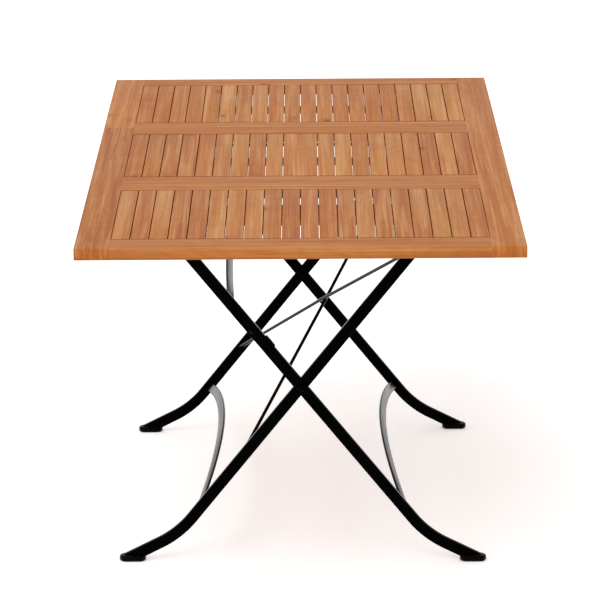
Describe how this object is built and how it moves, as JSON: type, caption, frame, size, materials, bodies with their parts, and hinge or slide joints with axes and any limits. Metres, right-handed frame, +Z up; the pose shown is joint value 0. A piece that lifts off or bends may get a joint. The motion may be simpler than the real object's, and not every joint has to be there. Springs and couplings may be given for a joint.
{
  "type": "folding picnic table",
  "caption": "Rectangular slatted wooden table top on crossed black steel legs that fold like scissors, with outward-curved feet and bowed stretchers.",
  "frame": {"origin": "on the floor under the middle of the table top", "axes": "+Z up, Y along the length of the top, X across it, and the crossed legs are seen from -Y"},
  "size_m": [0.85, 1.5, 0.745],
  "materials": {
    "frame_wood": "oiled hardwood frame, satin",
    "slat_wood": "oiled hardwood slats, satin, tone varies from slat to slat",
    "black_paint": "smooth black gloss powder coat",
    "zinc_hardware": "dull zinc",
    "foot_cap": "smooth black rubber"
  },
  "bodies": {
    "top": {"stile_left": "frame_wood", "stile_right": "frame_wood", "end_rail_front": "frame_wood", "end_rail_rear": "frame_wood", "cross_rail_front": "frame_wood", "cross_rail_rear": "frame_wood", "slats_front": "slat_wood", "slats_middle": "slat_wood", "slats_rear": "slat_wood", "centre_board": "slat_wood", "batten_front": "frame_wood", "batten_middle": "frame_wood", "batten_rear": "frame_wood", "batten_screws": "zinc_hardware", "under_rail_front": "black_paint", "under_rail_rear": "black_paint", "rail_brackets": "black_paint", "bracket_screws": "zinc_hardware", "bracket_rivets": "zinc_hardware"},
    "inner_frame": {"inner_leg_front": "black_paint", "inner_leg_rear": "black_paint", "inner_stretcher": "black_paint", "brace_rod_rising": "black_paint", "brace_rod_falling": "black_paint", "hinge_rod": "black_paint", "hinge_collars": "black_paint", "inner_foot_front": "foot_cap", "inner_foot_rear": "foot_cap", "pivot_bolt_front": "black_paint", "pivot_bolt_rear": "black_paint", "pivot_nut_front": "black_paint", "pivot_nut_rear": "black_paint", "pivot_washer_front": "black_paint", "pivot_washer_rear": "black_paint"},
    "outer_frame": {"outer_leg_front": "black_paint", "outer_leg_rear": "black_paint", "outer_stretcher_low": "black_paint", "outer_stretcher_high": "black_paint", "slide_rod": "black_paint", "slide_collars": "black_paint", "outer_foot_front": "foot_cap", "outer_foot_rear": "foot_cap", "latch_bolt": "black_paint"},
    "latch": {"latch_lever": "black_paint"}
  },
  "joints": [
    {"name": "frame_swing", "type": "hinge", "parent": "top", "child": "inner_frame", "pos_m": [0.25977, 0, 0.6935], "axis": [0, -1, 0], "range_deg": [0, 36]},
    {"name": "leg_fold", "type": "hinge", "parent": "inner_frame", "child": "outer_frame", "pos_m": [0, 0, 0.3696], "axis": [0, 1, 0], "range_deg": [0, 72]},
    {"name": "latch_turn", "type": "hinge", "parent": "outer_frame", "child": "latch", "pos_m": [-0.09635, -0.433, 0.48974], "axis": [0, -1, 0], "range_deg": [0, 100]}
  ],
  "couplings": [
    {"joint": "frame_swing", "follows": "leg_fold", "ratio": 0.5}
  ]
}
